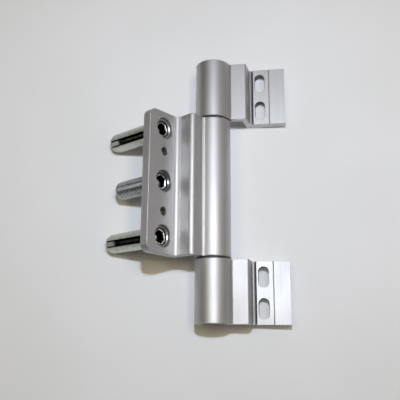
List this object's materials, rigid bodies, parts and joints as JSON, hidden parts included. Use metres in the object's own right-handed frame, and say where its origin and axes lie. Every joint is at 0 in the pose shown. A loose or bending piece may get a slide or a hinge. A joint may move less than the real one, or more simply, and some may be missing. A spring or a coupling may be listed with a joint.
{
  "type": "door hinge",
  "caption": "Aluminium barrel hinge: a long middle leaf on expanding anchors swings about a steel pin between short slotted frame leaves.",
  "frame": {"origin": "middle of the hinge pin, on its axis", "axes": "+Z along the pin, up in use; +X from the pin towards the slotted frame leaves; -Y to the front, +Y into the frame that they are screwed to"},
  "size_m": [0.113, 0.0463, 0.165],
  "materials": {
    "anodised_aluminium": "satin silver anodised",
    "pin_steel": "ground steel",
    "galvanised_steel": "dull zinc plating",
    "bright_steel": "bright plated",
    "dark_plastic": "matt moulded"
  },
  "bodies": {
    "frame_side": {"upper_leaf": "anodised_aluminium", "lower_leaf": "anodised_aluminium", "hinge_pin": "pin_steel", "upper_leaf_bush": "dark_plastic", "lower_leaf_bush": "dark_plastic", "upper_end_cap": "dark_plastic", "lower_end_cap": "dark_plastic", "upper_grub_screw": "bright_steel", "lower_grub_screw": "bright_steel"},
    "door_side": {"middle_leaf": "anodised_aluminium", "upper_bearing_bush": "dark_plastic", "lower_bearing_bush": "dark_plastic", "upper_anchor_sleeve": "galvanised_steel", "lower_anchor_sleeve": "galvanised_steel", "upper_cone_nut": "galvanised_steel", "lower_cone_nut": "galvanised_steel", "upper_clamp_screw": "bright_steel", "lower_clamp_screw": "bright_steel", "support_stud": "galvanised_steel", "support_screw": "bright_steel"}
  },
  "joints": [
    {"name": "leaf_swing", "type": "hinge", "parent": "frame_side", "child": "door_side", "pos_m": [0, 0, 0], "axis": [0, 0, 1], "range_deg": [-58, 122]}
  ]
}
